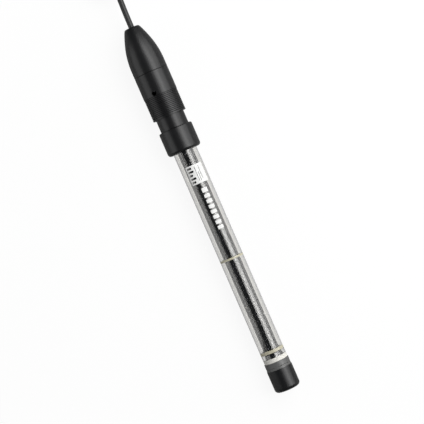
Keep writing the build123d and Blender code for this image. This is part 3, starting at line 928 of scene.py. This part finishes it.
@dataclass
class HankTie:
    """The strap round the hank's waist, one turn and an overlap."""

    middle: float = HANK_MIDDLE
    width: float = 5.0
    thickness: float = 0.6
    edge_share: float = 0.3
    half_width: float = 4.0
    low: float = HANK_LAYERS[-1]
    high: float = HANK_LAYERS[0]
    turn_radius: float = 1.43
    corner_steps: int = 8
    start_share: float = 0.2
    climb_share: float = 0.5
    climb: float = 0.1
    lap_lead: float = 0.2
    end_share: float = -0.55

    @property
    def _top(self) -> float:
        """The height of the strap's inner face over the hank."""
        return self.high + self.turn_radius

    def _path(self) -> list[tuple[Vector, Vector]]:
        """Points round the hank's waist with their outward directions, overlap included.

        Returns:
            Points on the strap's inner face and unit directions, in the plane across the hank.
        """
        corners = [(self.half_width, self.high, 90), (-self.half_width, self.high, 180),
                   (-self.half_width, self.low, 270), (self.half_width, self.low, 360)]
        up = Vector((0, 1))
        path = [(Vector((self.half_width * self.start_share, self._top)), up)]
        for side, height, end in corners[1:] + corners[:1]:
            for step in range(self.corner_steps + 1):
                angle = math.radians(end - 90 + 90 * step / self.corner_steps)
                outward = Vector((math.cos(angle), math.sin(angle)))
                path.append((Vector((side, height)) + outward * self.turn_radius, outward))
        lap = self._top + self.thickness
        return path + [
            (Vector((self.half_width * self.climb_share, self._top + self.climb)), up),
            (Vector((self.half_width * self.start_share - self.lap_lead, lap)), up),
            (Vector((self.half_width * self.end_share, lap)), up),
        ]

    def build(self) -> bpy.types.Object:
        """Build the strap as a thin band with rounded edges that laps over its own start.

        Returns:
            The strap.
        """
        half, deep, edge = self.width / 2, self.thickness, self.thickness * self.edge_share
        outline = [(-half + edge, 0), (half - edge, 0), (half, edge), (half, deep - edge),
                   (half - edge, deep), (-half + edge, deep), (-half, deep - edge), (-half, edge)]
        shape = bmesh.new()
        rings = []
        for spot, outward in self._path():
            places = [Vector((self.middle + x, *(spot + outward * depth))) for x, depth in outline]
            rings.append([shape.verts.new(place * MM) for place in places])
        for ring, following in zip(rings, rings[1:]):
            for index in range(len(outline)):
                after = (index + 1) % len(outline)
                shape.faces.new((ring[index], ring[after], following[after], following[index]))
        shape.faces.new(rings[0])
        shape.faces.new(rings[-1][::-1])
        strap = WovenStrap("strap_black", shade(30, 30, 32)).paint()
        piece = new_piece("hank_strap", shape, strap, Body.STEM)
        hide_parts("cable_tie")
        return piece


@dataclass
class CoaxialPlug:
    """The plug on the cable's end."""

    nodes: tuple[str, ...] = (
        "plug_boot", "crimp_ferrule", "plug_body", "plug_insulator", "centre_pin", "plug_gasket",
        "coupling_washer", "coupling_ring",
    )

    def dress(self) -> None:
        """Finish the plug's solids."""
        nickel = TurnedMetal("plug_nickel", shade(206, 204, 198), shade(150, 144, 134), 0.2, 0.1)
        rubber = MouldedPlastic("plug_rubber", shade(34, 34, 35), Sheen.SOFT, 0.2, 0.01)
        white = MouldedPlastic("plug_white", shade(236, 234, 228), Sheen.SOFT, 0.2, 0.004, 1.03)
        gold = TurnedMetal("pin_gold", shade(232, 190, 104), shade(190, 146, 76), 0.16, 0.06)
        red = MouldedPlastic("gasket_red", shade(168, 52, 40), Sheen.SOFT, 0.2, 0.006, 1.2)
        plated = nickel.paint()
        finish_nodes({
            "plug_boot": rubber.paint(),
            "crimp_ferrule": plated,
            "plug_body": plated,
            "plug_insulator": white.paint(),
            "centre_pin": gold.paint(),
            "plug_gasket": red.paint(),
            "coupling_washer": plated,
            "coupling_ring": plated,
        })


@dataclass(frozen=True)
class Softbox:
    """A flat lamp that faces the body from a given side."""

    name: str
    angle: float
    spread: float
    radiance: float
    run: float
    shift: float
    reach: float = 0.6
    skew: float = 0.0

    def build(self) -> None:
        """Hang the lamp at its angle from straight up, positive toward the photo's left."""
        width = 2 * self.reach * math.tan(math.radians(self.spread) / 2)
        data = bpy.data.lights.new(self.name, "AREA")
        data.shape, data.size, data.size_y = "RECTANGLE", width, self.run
        data.energy = self.radiance * math.pi * width * self.run
        lamp = bpy.data.objects.new(self.name, data)
        turn = math.radians(self.angle)
        spot = Vector((self.shift, math.sin(turn) * self.reach, math.cos(turn) * self.reach))
        facing = Matrix.Rotation(math.radians(90 + self.skew), 4, "Z")
        lamp.matrix_world = Matrix.Translation(spot) @ Matrix.Rotation(-turn, 4, "X") @ facing
        lamp.visible_camera = False
        bpy.context.scene.collection.objects.link(lamp)
        log.info("lamp %s hung", self.name)


@dataclass
class Studio:
    """The floor, the lamps, the world and the camera."""

    lens: float = 135.0
    sensor: float = 36.0
    view_width: float = 206.7
    aim: Spot = (-1.85, -0.18, 8.0)
    turn: float = -113.5
    clip: tuple[float, float] = (0.01, 20.0)
    floor_size: float = 6.0
    floor_glow: float = 1.15
    seen_glow: float = 0.8
    through_glow: float = 0.5
    room_light: float = 0.08
    room_seen: float = 1.0
    lamps: tuple[Softbox, ...] = (
        Softbox("key_core", angle=-33.0, spread=22.0, radiance=2.4, run=0.9, shift=0.12,
                skew=20.0),
        Softbox("key_spread", angle=-46.0, spread=68.0, radiance=2.0, run=0.9, shift=0.12),
        Softbox("fill", angle=72.0, spread=50.0, radiance=1.1, run=0.6, shift=0.16),
    )

    def build(self) -> None:
        """Set the whole studio up."""
        self._camera()
        self._floor()
        self._world()
        for lamp in self.lamps:
            lamp.build()
        bpy.context.scene.view_settings.view_transform = "Standard"

    def _camera(self) -> None:
        """Hang the camera straight above the body, turned as in the photograph."""
        data = bpy.data.cameras.new("camera")
        data.lens, data.sensor_width = self.lens, self.sensor
        data.clip_start, data.clip_end = self.clip
        camera = bpy.data.objects.new("camera", data)
        away = self.view_width / 2 * MM / (self.sensor / 2 / self.lens)
        spot = Vector(self.aim) * MM + Vector((0, 0, away))
        turned = Matrix.Rotation(math.radians(self.turn), 4, "Z")
        camera.matrix_world = Matrix.Translation(spot) @ turned
        bpy.context.scene.collection.objects.link(camera)
        bpy.context.scene.camera = camera

    def _floor(self) -> None:
        """Lay a plain pale floor, which looks nearly white to the camera and through glass."""
        half = self.floor_size / 2
        shape = bmesh.new()
        corners = ((-half, -half), (half, -half), (half, half), (-half, half))
        shape.faces.new([shape.verts.new((x, y, 0)) for x, y in corners])
        data = bpy.data.meshes.new("floor")
        shape.to_mesh(data)
        shape.free()
        paint = Paint("floor_pale")
        path = paint.node("ShaderNodeLightPath")
        seen = Signal(paint, path.outputs["Is Camera Ray"]) * self.seen_glow
        through = Signal(paint, path.outputs["Is Transmission Ray"]) * self.through_glow
        plain = paint.node("ShaderNodeBsdfDiffuse", {}, {"Color": shade(173, 173, 172)})
        bright = paint.node("ShaderNodeEmission", {}, {
            "Color": (1.0, 1.0, 1.0), "Strength": self.floor_glow})
        mixed = paint.node("ShaderNodeMixShader", {}, {
            0: seen + through, 1: Signal(paint, plain.outputs[0]),
            2: Signal(paint, bright.outputs[0])})
        paint.node("ShaderNodeOutputMaterial", {}, {"Surface": Signal(paint, mixed.outputs[0])})
        data.materials.append(paint.material)
        floor = bpy.data.objects.new("floor", data)
        bpy.context.scene.collection.objects.link(floor)

    def _world(self) -> None:
        """Surround the set with dim grey that the camera sees as white."""
        world = bpy.data.worlds.new("room")
        bpy.context.scene.world = world
        world.use_nodes = True
        nodes, links = world.node_tree.nodes, world.node_tree.links
        nodes.clear()
        path = nodes.new("ShaderNodeLightPath")
        dim, white = nodes.new("ShaderNodeBackground"), nodes.new("ShaderNodeBackground")
        dim.inputs["Color"].default_value = (0.9, 0.95, 1.0, 1.0)
        dim.inputs["Strength"].default_value = self.room_light
        white.inputs["Color"].default_value = (1.0, 1.0, 1.0, 1.0)
        white.inputs["Strength"].default_value = self.room_seen
        mix, out = nodes.new("ShaderNodeMixShader"), nodes.new("ShaderNodeOutputWorld")
        links.new(path.outputs["Is Camera Ray"], mix.inputs[0])
        links.new(dim.outputs[0], mix.inputs[1])
        links.new(white.outputs[0], mix.inputs[2])
        links.new(mix.outputs[0], out.inputs["Surface"])


def main() -> None:
    """Build the studio and every sub-assembly."""
    logging.basicConfig(level=logging.INFO, format="%(message)s")
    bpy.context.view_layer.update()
    Studio().build()
    lead = Lead()
    cable = lead.build()
    HankTie().build()
    SensingTip().dress()
    InnerStem().dress()
    sleeve = SlidingSleeve()
    sleeve.build()
    sleeve.dress()
    cap = Cap()
    cap.dress()
    cap.load_spring()
    plug = CoaxialPlug()
    plug.dress()
    log.info("sizes written")


if __name__ == "__main__":
    main()
